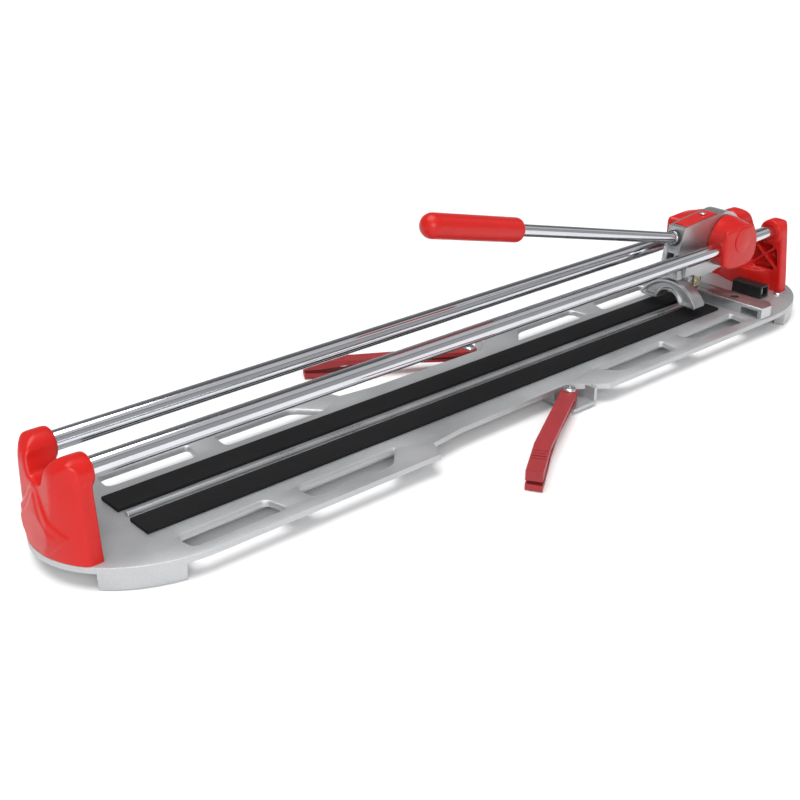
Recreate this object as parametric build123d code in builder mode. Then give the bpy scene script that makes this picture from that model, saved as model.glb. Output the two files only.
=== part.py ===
"""Manual rail tile cutter: cast base, two guide rails, sliding carriage with a scoring lever.

Millimetres. +Z is up and z = 0 is the bench. +X runs along the rails towards the fence. The origin is
on the bench, at the middle of the base and midway between the two rails.
"""

import os
from math import atan2, cos, degrees, radians, sin, tan

from build123d import *

# ---- driving dimensions -------------------------------------------------------------------------
DECK_TOP = 18.5
DECK_THICK = 5.0
BASE_HALF_LENGTH = 428.0
BASE_HALF_WIDTH = 77.5
END_CENTRE = 330.0
RECESS_LEFT = -123.0
FOOT_BOTTOM = 0.8
FOOT_WALL = 13.0
FLOOR_PAD_RADIUS = 4.0
FLOOR_PAD_PLACES = [(x, y) for x in (-377.0, 377.0) for y in (-60.5, 60.5)]

RAIL_RADIUS = 7.5
RAIL_Y = 25.5
RAIL_Z = 81.0
RAIL_SPAN = 394.7
RAIL_GRIP_DEPTH = 13.0
SPAN_CENTRE = -4.4
SUPPORT_BOLT_X = 408.0
SUPPORT_BOLT_Y = 22.0
DECK_SCREW_X = 385.4
DECK_SCREW_Y = 45.0

PAD_LEFT = -360.0
PAD_RIGHT = 300.0
PAD_INNER = 8.3
PAD_OUTER = 32.4
PAD_THICK = 3.0
RIB_HALF_WIDTH = 3.2
RIB_HEIGHT = 3.7

HINGE_X = 326.0
HINGE_Z = 82.0
BARREL_RADIUS = 29.0
BARREL_HALF = 11.3
CHEEK_INNER = 12.0
CHEEK_OUTER = 37.0
CHEEK_NOSE = 32.0
HINGE_PIN_RADIUS = 8.0
HINGE_PIN_HALF = 15.5

LEVER_RISE = 13.6
SOCKET_X = 260.0
ROD_RADIUS = 5.5
ROD_AT_X = 274.2
ROD_AT_Z = 91.6
GRIP_TIP_X = -74.0
GRIP_LENGTH = 113.5
GRIP_RADIUS = 10.8

HOLDER_X = 300.0
WHEEL_RADIUS = 11.0
WHEEL_Z = 41.5
WHEEL_BORE = 3.0

FOOT_FRONT = 257.0
FOOT_DEPTH = 17.0
FOOT_HALF_WIDTH = 34.0
FOOT_BASE_Z = 29.8
FOOT_PIN_Z = 59.0
FOOT_PIN_RADIUS = 2.5
LUG_FRONT = 262.0
LUG_THICK = 8.0

ARM_PIVOT_X = 43.3
ARM_PIVOT_Y = 62.5
ARM_OPEN = 30.5
ARM_LENGTH = 156.0
ARM_WIDTH = 14.0
ARM_TOP = 17.5

FENCE_FRONT = 309.5
FENCE_BACK = 334.0
FENCE_TOP = 29.5
FENCE_HALF = 76.0
NOTCH_START = 52.0
NOTCH_END = 71.5

RUNNING_GAP = 0.05

os.makedirs("parts", exist_ok=True)


def save(piece, label):
    """Labels one finished piece and writes it as its own STEP file."""
    piece.label = label
    export_step(piece, f"parts/{label}.step")


def slab(x0, x1, y0, y1, z0, z1, mode=Mode.ADD):
    """An upright block between two corners, added to or cut from the current part."""
    with Locations(((x0 + x1) / 2, (y0 + y1) / 2, (z0 + z1) / 2)):
        Box(x1 - x0, y1 - y0, z1 - z0, mode=mode)


def rod_plane(x):
    """A plane across the handle axis where that axis passes the given x, facing the grip."""
    z = ROD_AT_Z + (ROD_AT_X - x) * tan(radians(LEVER_RISE))
    along = (-cos(radians(LEVER_RISE)), 0, sin(radians(LEVER_RISE)))
    return Plane(origin=(x, 0, z), x_dir=(0, 1, 0), z_dir=along)


# ---- base ---------------------------------------------------------------------------------------
def make_base_plate():
    deck_bottom = DECK_TOP - DECK_THICK
    end_radius_x = BASE_HALF_LENGTH - END_CENTRE
    recess = [
        (RECESS_LEFT, -BASE_HALF_WIDTH),
        (-115.0, -59.5),
        (-80.0, -55.0),
        (49.5, -53.2),
        (80.0, -BASE_HALF_WIDTH),
    ]
    windows = [
        [(-348, -46), (-268, -44), (-262, -66), (-270, -68), (-346, -68)],
        [(-243, -44), (-140, -44), (-162, -67.5), (-241, -67.5)],
        [(88, -44), (193, -44), (190, -68), (112, -67.5)],
        [(213, -44), (304, -44), (300, -68), (221, -68)],
    ]
    with BuildPart() as base:
        with BuildSketch(Plane.XY.offset(deck_bottom)):
            with BuildLine():
                Polyline((-END_CENTRE, -BASE_HALF_WIDTH), *recess, (END_CENTRE, -BASE_HALF_WIDTH))
                EllipticalCenterArc((END_CENTRE, 0), end_radius_x, BASE_HALF_WIDTH, 270, arc_size=90)
                EllipticalCenterArc((-END_CENTRE, 0), end_radius_x, BASE_HALF_WIDTH, 180, arc_size=90)
                mirror(about=Plane.XZ)
            make_face()
        extrude(amount=DECK_THICK)

        # windows that lighten the deck, mirrored to the far side
        with BuildSketch(Plane.XY.offset(deck_bottom)) as openings:
            for outline in windows:
                with BuildLine():
                    Polyline(*outline, close=True)
                make_face()
            fillet(openings.vertices(), 5)
            mirror(about=Plane.XZ)
        extrude(amount=DECK_THICK, mode=Mode.SUBTRACT)
        rims = base.edges().filter_by(Plane.XY).group_by(Axis.Z)[-1]
        chamfer(rims, 1.0)

        # cast feet: curved walls under the four corners
        for side_x in (1, -1):
            for side_y in (1, -1):
                with BuildSketch(Plane.XY.offset(FOOT_BOTTOM)):
                    with Locations((side_x * END_CENTRE, 0)):
                        Ellipse(end_radius_x, BASE_HALF_WIDTH)
                        Ellipse(end_radius_x - FOOT_WALL, BASE_HALF_WIDTH - FOOT_WALL, mode=Mode.SUBTRACT)
                    Polygon(
                        (side_x * END_CENTRE, 0),
                        (side_x * 480, side_y * 94.6),
                        (side_x * 480, side_y * 150),
                        (side_x * 380.5, side_y * 150),
                        align=None,
                        mode=Mode.INTERSECT,
                    )
                extrude(amount=deck_bottom - FOOT_BOTTOM)

        # stiffening ribs under the deck
        for y in (-36.0, -12.0, 12.0, 36.0):
            slab(-392, 392, y - 1.5, y + 1.5, 6, deck_bottom)
        for x in (-390.0, -256.0, 0.0, 203.0, 390.0):
            slab(x - 1.5, x + 1.5, -37, 37, 6, deck_bottom)

        # pockets that carry the side arms
        for side in (1, -1):
            floor_y = sorted((side * 36, side * 75))
            wall_y = sorted((side * 49, side * 75))
            slab(36, 66, *floor_y, 2.5, 5.5)
            slab(62.5, 66, *wall_y, 2.5, DECK_TOP)
            slab(36, 66, *sorted((side * 36, side * 51.5)), 2.5, deck_bottom)
        with Locations(*[(ARM_PIVOT_X, side * ARM_PIVOT_Y, 5.5) for side in (1, -1)]):
            Hole(3.95, depth=4)

        # screw holes for the end supports and recesses for the anti-slip pads
        for side in (1, -1):
            bolt_x = SPAN_CENTRE + side * SUPPORT_BOLT_X
            with Locations(*[(bolt_x, y, deck_bottom) for y in (-SUPPORT_BOLT_Y, SUPPORT_BOLT_Y)]):
                Hole(2.1, depth=20)
        with Locations(*[(DECK_SCREW_X, y, DECK_TOP) for y in (-DECK_SCREW_Y, DECK_SCREW_Y)]):
            Hole(2.5, depth=DECK_THICK)
        with Locations(*[(x, y, FOOT_BOTTOM) for x, y in FLOOR_PAD_PLACES]):
            Cylinder(FLOOR_PAD_RADIUS, 2, align=(Align.CENTER, Align.CENTER, Align.MIN), mode=Mode.SUBTRACT)
    save(base.part, "base_plate")


def make_anti_slip_pads():
    with BuildPart() as pads:
        with BuildSketch():
            with Locations(*FLOOR_PAD_PLACES):
                Circle(FLOOR_PAD_RADIUS)
        extrude(amount=FOOT_BOTTOM + 2)
    save(pads.part, "anti_slip_pads")


def make_cutting_bed():
    for label, side in (("pad_front", -1), ("pad_rear", 1)):
        with BuildPart() as pad:
            width = sorted((side * PAD_INNER, side * PAD_OUTER))
            slab(PAD_LEFT, PAD_RIGHT, *width, DECK_TOP, DECK_TOP + PAD_THICK)
            chamfer(pad.edges().filter_by(Plane.XY).group_by(Axis.Z)[-1], 0.4)
        save(pad.part, label)
    with BuildPart() as rib:
        slab(PAD_LEFT + 2, PAD_RIGHT, -RIB_HALF_WIDTH, RIB_HALF_WIDTH, DECK_TOP, DECK_TOP + RIB_HEIGHT)
        fillet(rib.edges().filter_by(Axis.X).group_by(Axis.Z)[-1], 2.6)
    save(rib.part, "breaking_rib")


def make_rails():
    half = RAIL_SPAN + RAIL_GRIP_DEPTH
    for label, side in (("rail_front", -1), ("rail_rear", 1)):
        with BuildPart() as rail:
            with BuildSketch(Plane.YZ.offset(SPAN_CENTRE - half)):
                with Locations((side * RAIL_Y, RAIL_Z)):
                    Circle(RAIL_RADIUS)
            extrude(amount=2 * half)
            chamfer(rail.edges().filter_by(GeomType.CIRCLE), 0.8)
        save(rail.part, label)


# ---- end supports -------------------------------------------------------------------------------
def make_end_support(side, label):
    """Drawn as the support at the fence end, then mirrored for the grip end where side is -1."""
    hood = 12.6
    hood_top = RAIL_Z + hood
    body_half = 44.0
    wall_top = RAIL_SPAN + 23.6
    wall_foot = BASE_HALF_LENGTH + SPAN_CENTRE - 0.8
    plan_centre = RAIL_SPAN - 20.0
    band_bulge = 8.9 if side > 0 else 3.0
    pocket_depth = 10.5
    rib_width = 3.2
    low, high, inner, outer = 40.0, 66.0, 4.0, 37.0
    with BuildPart() as support:
        # end view: two hoods round the rails on a widening body
        with BuildSketch(Plane.YZ.offset(RAIL_SPAN)):
            with BuildLine():
                Polyline(
                    (0, DECK_TOP),
                    (body_half, DECK_TOP),
                    (RAIL_Y + hood, RAIL_Z),
                )
                JernArc((RAIL_Y + hood, RAIL_Z), (0, 1), hood, 180)
                Polyline((RAIL_Y - hood, RAIL_Z), (8.5, 70.5), (0, 69))
                mirror(about=Plane.YZ)
            make_face()
        extrude(amount=34)

        # side view: hoods round over towards the end, the wall then leans out to the deck
        with BuildSketch(Plane.XZ):
            with BuildLine():
                Polyline(
                    (wall_top, RAIL_Z - 1.8),
                    (wall_top + 1.2, 55.8),
                    (wall_foot, DECK_TOP),
                    (RAIL_SPAN - 1, DECK_TOP),
                    (RAIL_SPAN - 1, hood_top + 1),
                    (RAIL_SPAN + 6.8, hood_top + 1),
                    (RAIL_SPAN + 6.8, hood_top),
                )
                ThreePointArc(
                    (RAIL_SPAN + 6.8, hood_top),
                    (RAIL_SPAN + 17.8, hood_top - 4.7),
                    (wall_top, RAIL_Z - 1.8),
                )
            make_face()
        extrude(amount=60, both=True, mode=Mode.INTERSECT)

        # plan: round outer corners, narrower at the hoods than at the deck
        with BuildSketch(Plane.XY.offset(DECK_TOP)):
            with Locations((plan_centre, 0)):
                Ellipse(wall_foot - plan_centre, 58.3)
        with BuildSketch(Plane.XY.offset(hood_top + 1)):
            with Locations((plan_centre, 0)):
                Ellipse(49.0, 46.0)
        loft(mode=Mode.INTERSECT)

        # bowed band at the foot of the inner face
        with BuildSketch(Plane.XY.offset(DECK_TOP)):
            with BuildLine():
                ThreePointArc((402, 43), (RAIL_SPAN - band_bulge, 0), (402, -43))
                Line((402, -43), (402, 43))
            make_face()
        extrude(amount=19, taper=6)

        # rail sockets
        for y in (-RAIL_Y, RAIL_Y):
            with BuildSketch(Plane.YZ.offset(RAIL_SPAN)):
                with Locations((y, RAIL_Z)):
                    Circle(RAIL_RADIUS)
            extrude(amount=RAIL_GRIP_DEPTH, mode=Mode.SUBTRACT)

        # ribbed pockets below each rail: four triangles round an X
        middle = ((inner + outer) / 2, (low + high) / 2)
        corners = [(inner, low), (outer, low), (outer - 4, high), (inner + 2, high)]
        for half in (1, -1):
            with BuildSketch(Plane.YZ.offset(RAIL_SPAN)):
                for first, second in zip(corners, corners[1:] + corners[:1]):
                    outline = [(half * y, z) for y, z in (first, second, middle)]
                    Polygon(*outline, align=None)
                for start, end in ((corners[0], corners[2]), (corners[1], corners[3])):
                    run = half * (end[0] - start[0])
                    slope = degrees(atan2(end[1] - start[1], run))
                    with Locations((half * (start[0] + end[0]) / 2, (start[1] + end[1]) / 2)):
                        Rectangle(outer + inner, rib_width, rotation=slope, mode=Mode.SUBTRACT)
            extrude(amount=pocket_depth, mode=Mode.SUBTRACT)

        # pilot holes for the bolts from below, and the grub screws that hold the rails
        with Locations(*[(SUPPORT_BOLT_X, y, DECK_TOP) for y in (-SUPPORT_BOLT_Y, SUPPORT_BOLT_Y)]):
            Cylinder(2.1, 14, align=(Align.CENTER, Align.CENTER, Align.MIN), mode=Mode.SUBTRACT)
        with Locations(*[(RAIL_SPAN + 8, y, RAIL_Z - 14) for y in (-RAIL_Y, RAIL_Y)]):
            Cylinder(2.0, 7, align=(Align.CENTER, Align.CENTER, Align.MIN), mode=Mode.SUBTRACT)
    placed = support.part
    if side < 0:
        placed = mirror(placed, about=Plane.YZ)
    save(placed.moved(Location((SPAN_CENTRE, 0, 0))), label)


def make_support_fasteners():
    with BuildPart() as bolts:
        for side in (1, -1):
            bolt_x = SPAN_CENTRE + side * SUPPORT_BOLT_X
            for y in (-SUPPORT_BOLT_Y, SUPPORT_BOLT_Y):
                with BuildSketch(Plane.XY.offset(DECK_TOP - DECK_THICK - 2.6)):
                    with Locations((bolt_x, y)):
                        Circle(3.8)
                extrude(amount=2.6)
                with BuildSketch(Plane.XY.offset(DECK_TOP - DECK_THICK)):
                    with Locations((bolt_x, y)):
                        Circle(2.1)
                extrude(amount=DECK_THICK + 13)
    save(bolts.part, "support_bolts")
    with BuildPart() as screws:
        for y in (-DECK_SCREW_Y, DECK_SCREW_Y):
            with BuildSketch(Plane.XY.offset(DECK_TOP - DECK_THICK)):
                with Locations((DECK_SCREW_X, y)):
                    Circle(2.5)
            extrude(amount=DECK_THICK)
            with BuildSketch(Plane.XY.offset(DECK_TOP)):
                with Locations((DECK_SCREW_X, y)):
                    Circle(4.6)
            extrude(amount=2.4)
        fillet(screws.edges().filter_by(GeomType.CIRCLE).group_by(Axis.Z)[-1], 1.8)
    save(screws.part, "deck_screws")
    with BuildPart() as grubs:
        for side in (1, -1):
            for y in (-RAIL_Y, RAIL_Y):
                with BuildSketch(Plane.XY.offset(RAIL_Z - 13.5)):
                    with Locations((SPAN_CENTRE + side * (RAIL_SPAN + 8), y)):
                        Circle(2.0)
                        RegularPolygon(1.0, 6, mode=Mode.SUBTRACT)
                extrude(amount=13.5 - RAIL_RADIUS)
    save(grubs.part, "rail_grub_screws")


# ---- fence and spare wheel case -----------------------------------------------------------------
def make_fence():
    with BuildPart() as fence:
        slab(FENCE_FRONT, FENCE_BACK, -FENCE_HALF, FENCE_HALF, DECK_TOP, FENCE_TOP)
        back_corners = fence.edges().filter_by(Axis.Z).group_by(Axis.X)[-1]
        chamfer(back_corners, 8)
        for side in (1, -1):
            notch = sorted((side * NOTCH_START, side * NOTCH_END))
            slab(FENCE_FRONT, FENCE_BACK - 8, *notch, DECK_TOP, FENCE_TOP - 3.5, Mode.SUBTRACT)
        slab(FENCE_BACK - 5, FENCE_BACK, -60, 60, FENCE_TOP - 1.2, FENCE_TOP, Mode.SUBTRACT)
        front_edge = fence.edges().filter_by(Axis.Y).group_by(Axis.Z)[-1].sort_by(Axis.X)[0]
        chamfer(front_edge, 0.8)
        with Locations(*[(FENCE_BACK - 13, y, FENCE_TOP) for y in (-36, 36)]):
            CounterBoreHole(2.5, 4.6, 3.2, depth=FENCE_TOP - DECK_TOP)
    save(fence.part, "fence_bar")
    with BuildPart() as screws:
        for y in (-36, 36):
            with BuildSketch(Plane.XY.offset(DECK_TOP)):
                with Locations((FENCE_BACK - 13, y)):
                    Circle(2.5)
            extrude(amount=FENCE_TOP - 3.2 - DECK_TOP)
            with BuildSketch(Plane.XY.offset(FENCE_TOP - 3.2)):
                with Locations((FENCE_BACK - 13, y)):
                    Circle(4.4)
            extrude(amount=2.8)
            with BuildSketch(Plane.XY.offset(FENCE_TOP - 0.4)):
                with Locations((FENCE_BACK - 13, y)):
                    RegularPolygon(2.2, 6)
            extrude(amount=-1.8, mode=Mode.SUBTRACT)
    save(screws.part, "fence_screws")


def make_wheel_case():
    """Black case behind the fence that stores a spare scoring wheel; its near end is open."""
    with BuildPart() as case:
        slab(358, 372, -42, -7, DECK_TOP, DECK_TOP + 13)
        fillet(case.edges().filter_by(Axis.Y).group_by(Axis.Z)[-1], 1.5)
        slab(360, 370, -42, -10, DECK_TOP + 2, DECK_TOP + 11, Mode.SUBTRACT)
    save(case.part, "wheel_case")
    with BuildPart() as spare:
        with BuildSketch(Plane.YZ.offset(362)):
            with Locations((-26, DECK_TOP + 6.5)):
                Rectangle(28, 6)
            with Locations((-18, DECK_TOP + 6.5)):
                Circle(1.5, mode=Mode.SUBTRACT)
        extrude(amount=2.5)
    save(spare.part, "spare_axle_plate")
    with BuildPart() as wheel:
        with BuildSketch(Plane.YZ.offset(365)):
            with Locations((-18, DECK_TOP + 6.5)):
                Circle(4.2)
                Circle(1.5, mode=Mode.SUBTRACT)
        extrude(amount=3)
        chamfer(wheel.edges().filter_by(GeomType.CIRCLE).sort_by(SortBy.RADIUS)[-2:], 1.2)
    save(wheel.part, "spare_scoring_wheel")


# ---- side arms ----------------------------------------------------------------------------------
def make_arm(side, label):
    """Arm drawn along -X from its pivot, then turned open. side is -1 at the front, 1 at the rear."""
    half = ARM_WIDTH / 2
    bend_at = 108.0
    bend_out = 4.0
    with BuildPart() as arm:
        # plan: straight from the pivot, then bent slightly outwards
        with BuildSketch(Plane.XY):
            with BuildLine():
                Polyline(
                    (0, half),
                    (-bend_at, half),
                    (-ARM_LENGTH, half + bend_out),
                    (-ARM_LENGTH, bend_out - half),
                    (-bend_at, -half),
                    (0, -half),
                )
                ThreePointArc((0, -half), (half, 0), (0, half))
            make_face()
        extrude(amount=ARM_TOP)
        # side view: shallow at the pivot, waist at mid-length, deep jaws at the tip
        with BuildSketch(Plane.XZ):
            with BuildLine():
                Polyline(
                    (10, 8),
                    (-8, 8),
                    (-74, 11.5),
                    (-84, 10.5),
                    (-118, 2.6),
                    (-140, 0.8),
                    (-ARM_LENGTH - 5, 0.8),
                    (-ARM_LENGTH - 5, ARM_TOP),
                    (10, ARM_TOP),
                    close=True,
                )
            make_face()
        extrude(amount=40, both=True, mode=Mode.INTERSECT)
        # long slot between the straps on the pivot side of the waist
        with BuildSketch(Plane.XZ):
            Polygon((-10, 13.8), (-10, 10.8), (-66, 13.0), (-66, 13.8), align=None)
        extrude(amount=40, both=True, mode=Mode.SUBTRACT)
        # opening beyond the waist and the gap between the jaws
        with BuildSketch(Plane.XZ):
            Polygon(
                (-84, 13.2),
                (-118, 12.6),
                (-142, 9.4),
                (-ARM_LENGTH - 6, 9.2),
                (-ARM_LENGTH - 6, 6.2),
                (-142, 5.6),
                (-118, 5.8),
                (-88, 12.6),
                align=None,
            )
        extrude(amount=40, both=True, mode=Mode.SUBTRACT)
        # finger ridges near the tip
        for x in (-120, -124.5, -129, -133.5):
            with BuildSketch(Plane.XY.offset(ARM_TOP)):
                with Locations((x, bend_out * (-x - bend_at) / (ARM_LENGTH - bend_at))):
                    Rectangle(1.6, ARM_WIDTH - 3, rotation=-4)
            extrude(amount=-0.7, mode=Mode.SUBTRACT)
        with Locations((0, 0, ARM_TOP)):
            Hole(3.95 + RUNNING_GAP, depth=ARM_TOP)
    placed = arm.part
    if side < 0:
        placed = mirror(placed, about=Plane.XZ)
    turned = placed.rotate(Axis.Z, -side * ARM_OPEN).moved(Location((ARM_PIVOT_X, side * ARM_PIVOT_Y, 0)))
    save(turned, label)


def make_arm_hardware(side, name):
    with BuildPart() as bolt:
        with BuildSketch(Plane.XY.offset(2)):
            with Locations((ARM_PIVOT_X, side * ARM_PIVOT_Y)):
                Circle(3.95)
        extrude(amount=ARM_TOP + 0.1 - 2)
        with BuildSketch(Plane.XY.offset(ARM_TOP + 0.1)):
            with Locations((ARM_PIVOT_X, side * ARM_PIVOT_Y)):
                Circle(5.6)
        extrude(amount=3)
        fillet(bolt.edges().filter_by(GeomType.CIRCLE).group_by(Axis.Z)[-1], 2.2)
        with BuildSketch(Plane.XY.offset(ARM_TOP + 3.1)):
            with Locations((ARM_PIVOT_X, side * ARM_PIVOT_Y)):
                RegularPolygon(2.4, 6)
        extrude(amount=-1.6, mode=Mode.SUBTRACT)
    save(bolt.part, f"arm_bolt_{name}")
    with BuildPart() as washer:
        with BuildSketch(Plane.XY.offset(5.5)):
            with Locations((ARM_PIVOT_X, side * ARM_PIVOT_Y)):
                Circle(6.2)
                Circle(3.95, mode=Mode.SUBTRACT)
        extrude(amount=2.4)
    save(washer.part, f"arm_washer_{name}")


# ---- carriage -----------------------------------------------------------------------------------
def make_cheek(side, label):
    """Housing that slides on one rail and carries one end of the hinge pin."""
    nose = HINGE_X - CHEEK_NOSE
    with BuildPart() as cheek:
        # round body with a squared nose towards the cutting side
        with BuildSketch(Plane.XZ.offset(-side * CHEEK_INNER)):
            with Locations((HINGE_X, HINGE_Z)):
                Circle(26)
            with BuildLine():
                Polyline(
                    (nose, HINGE_Z - 15),
                    (nose, HINGE_Z + 19),
                    (nose + 6, HINGE_Z + 24.5),
                    (HINGE_X, HINGE_Z + 24.5),
                    (HINGE_X, HINGE_Z - 24.5),
                    (nose + 10, HINGE_Z - 20),
                    close=True,
                )
            make_face()
        extrude(amount=-side * (CHEEK_OUTER - CHEEK_INNER))
        outer_rim = cheek.faces().sort_by(Axis.Y)[-1 if side > 0 else 0].edges()
        chamfer(outer_rim, 3.0)
        # raised round boss on the outer face
        with BuildSketch(Plane.XZ.offset(-side * CHEEK_OUTER)):
            with Locations((HINGE_X - 2, HINGE_Z + 3)):
                Circle(12)
        extrude(amount=-side * 0.8)
        # blind seat for the hinge pin, open to the barrel
        with BuildSketch(Plane.XZ.offset(-side * CHEEK_INNER)):
            with Locations((HINGE_X, HINGE_Z)):
                Circle(HINGE_PIN_RADIUS)
        extrude(amount=-side * (HINGE_PIN_HALF - CHEEK_INNER), mode=Mode.SUBTRACT)
        # bore for the rail and its bushes
        with BuildSketch(Plane.YZ.offset(nose - 1)):
            with Locations((side * RAIL_Y, RAIL_Z)):
                Circle(9.0)
        extrude(amount=60, mode=Mode.SUBTRACT)
    save(cheek.part, label)


def make_bushes(side, name):
    bush_length = 14.0
    ends = {"left": HINGE_X - 28.0, "right": HINGE_X + 22.0 - bush_length}
    for end, start in ends.items():
        with BuildPart() as bush:
            with BuildSketch(Plane.YZ.offset(start)):
                with Locations((side * RAIL_Y, RAIL_Z)):
                    Circle(9.0)
                    Circle(RAIL_RADIUS + RUNNING_GAP, mode=Mode.SUBTRACT)
            extrude(amount=bush_length)
        save(bush.part, f"rail_bush_{name}_{end}")


def make_hinge_pin():
    with BuildPart() as pin:
        with BuildSketch(Plane.XZ.offset(-HINGE_PIN_HALF)):
            with Locations((HINGE_X, HINGE_Z)):
                Circle(HINGE_PIN_RADIUS)
        extrude(amount=2 * HINGE_PIN_HALF)
        chamfer(pin.edges().filter_by(GeomType.CIRCLE), 0.6)
    save(pin.part, "hinge_pin")


def make_lever_bushes():
    for name, side in (("front", -1), ("rear", 1)):
        with BuildPart() as bush:
            with BuildSketch(Plane.XZ.offset(-side * 0.5)):
                with Locations((HINGE_X, HINGE_Z)):
                    Circle(11)
                    Circle(HINGE_PIN_RADIUS + RUNNING_GAP, mode=Mode.SUBTRACT)
            extrude(amount=-side * (BARREL_HALF - 0.5))
        save(bush.part, f"lever_bush_{name}")


# ---- lever --------------------------------------------------------------------------------------
def make_lever_casting():
    lean = tan(radians(LEVER_RISE))
    axis_z = ROD_AT_Z + (ROD_AT_X - SOCKET_X) * lean
    top = (SOCKET_X + (106.0 - axis_z) * lean, 106.0)
    low = (SOCKET_X + (70.0 - axis_z) * lean, 70.0)
    with BuildPart() as casting:
        with BuildSketch(Plane.XZ.offset(-BARREL_HALF)):
            with Locations((HINGE_X, HINGE_Z)):
                Circle(BARREL_RADIUS)
            Polygon(
                top,
                low,
                (FOOT_FRONT, 65.0),
                (FOOT_FRONT, 54.5),
                (282, 54.5),
                (290, 50.5),
                (311, 50.5),
                (HINGE_X - 2, HINGE_Z - BARREL_RADIUS + 0.5),
                (HINGE_X, HINGE_Z + BARREL_RADIUS - 0.05),
                (HINGE_X - 6, HINGE_Z + BARREL_RADIUS - 0.6),
                align=None,
            )
        extrude(amount=2 * BARREL_HALF)
        # the nose narrows towards the socket
        for side in (1, -1):
            with BuildSketch(Plane.XY.offset(40)):
                Polygon(
                    (250, side * 20),
                    (250, side * 9.0),
                    (276, side * 10.2),
                    (294, side * BARREL_HALF),
                    (294, side * 20),
                    align=None,
                )
            extrude(amount=80, mode=Mode.SUBTRACT)
        # hollow for the bushes round the hinge pin
        with BuildSketch(Plane.XZ.offset(-BARREL_HALF)):
            with Locations((HINGE_X, HINGE_Z)):
                Circle(11)
        extrude(amount=2 * BARREL_HALF, mode=Mode.SUBTRACT)
        # socket for the rod
        with BuildSketch(rod_plane(298)):
            Circle(ROD_RADIUS)
        extrude(amount=60, mode=Mode.SUBTRACT)
        # recess in the nose over the clamp screw, and the screw's own hole
        slab(250, 268, -4.2, 4.2, 70.5, 80.5, Mode.SUBTRACT)
        with BuildSketch(Plane.YZ.offset(260)):
            with Locations((0, 75.5)):
                Circle(2.5)
        extrude(amount=HOLDER_X - 5 - 260, mode=Mode.SUBTRACT)
        # vertical slot for the wheel holder, open below
        slab(HOLDER_X - 5, HOLDER_X + 5, -3.6, 3.6, 40, 79, Mode.SUBTRACT)
        slab(HOLDER_X - 13, HOLDER_X + 13, -2.4, 2.4, 40, WHEEL_Z + WHEEL_RADIUS + 1.5, Mode.SUBTRACT)
        # seat for the coloured inlay on top
        with BuildSketch(Plane.XZ.offset(-8)):
            Polygon((267, 103.5), (268, 112), (317, 114), (317, 108), (273, 103.5), align=None)
        extrude(amount=16, mode=Mode.SUBTRACT)
        # slot for the breaker foot's lug, and the hole for the pin that it rocks on
        slab(LUG_FRONT - 0.3, LUG_FRONT + LUG_THICK + 0.3, -20, 20, 50, FOOT_PIN_Z + 7, Mode.SUBTRACT)
        with BuildSketch(Plane.YZ.offset(FOOT_FRONT - 1)):
            with Locations((0, FOOT_PIN_Z)):
                Circle(FOOT_PIN_RADIUS)
        extrude(amount=24, mode=Mode.SUBTRACT)
    save(casting.part, "lever_casting")


def make_lever_trim():
    with BuildPart() as inlay:
        with BuildSketch(Plane.XZ.offset(-7.9)):
            Polygon(
                (268.6, 103.6),
                (269.2, 107),
                (312, 111.4),
                (316.8, 110.8),
                (316.8, 108.1),
                (273, 103.6),
                align=None,
            )
        extrude(amount=15.8)
    save(inlay.part, "lever_inlay")
    with BuildPart() as screw:
        with BuildSketch(Plane.XY.offset(110.9)):
            with Locations((303, 0)):
                Circle(3.2)
        extrude(amount=1.6)
        fillet(screw.edges().filter_by(GeomType.CIRCLE).group_by(Axis.Z)[-1], 1.2)
    save(screw.part, "inlay_screw")
    with BuildPart() as collar:
        with BuildSketch(rod_plane(SOCKET_X)):
            Circle(7.6)
            Circle(ROD_RADIUS, mode=Mode.SUBTRACT)
        extrude(amount=4.2)
    save(collar.part, "socket_collar")


def make_handle():
    rise = radians(LEVER_RISE)
    grip_back_x = GRIP_TIP_X + GRIP_LENGTH * cos(rise)
    rod_back = (298 - grip_back_x) / cos(rise)
    with BuildPart() as rod:
        with BuildSketch(rod_plane(298)):
            Circle(ROD_RADIUS)
        extrude(amount=rod_back + 90)
    save(rod.part, "handle_rod")
    with BuildPart() as grip:
        with BuildSketch(rod_plane(grip_back_x)):
            Circle(GRIP_RADIUS)
        extrude(amount=GRIP_LENGTH)
        ends = grip.edges().filter_by(GeomType.CIRCLE).sort_by(Axis.X)
        fillet(ends[0], GRIP_RADIUS - 0.2)
        fillet(ends[-1], 4)
        with BuildSketch(rod_plane(grip_back_x)):
            Circle(ROD_RADIUS)
        extrude(amount=90, mode=Mode.SUBTRACT)
    save(grip.part, "handle_grip")


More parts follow.
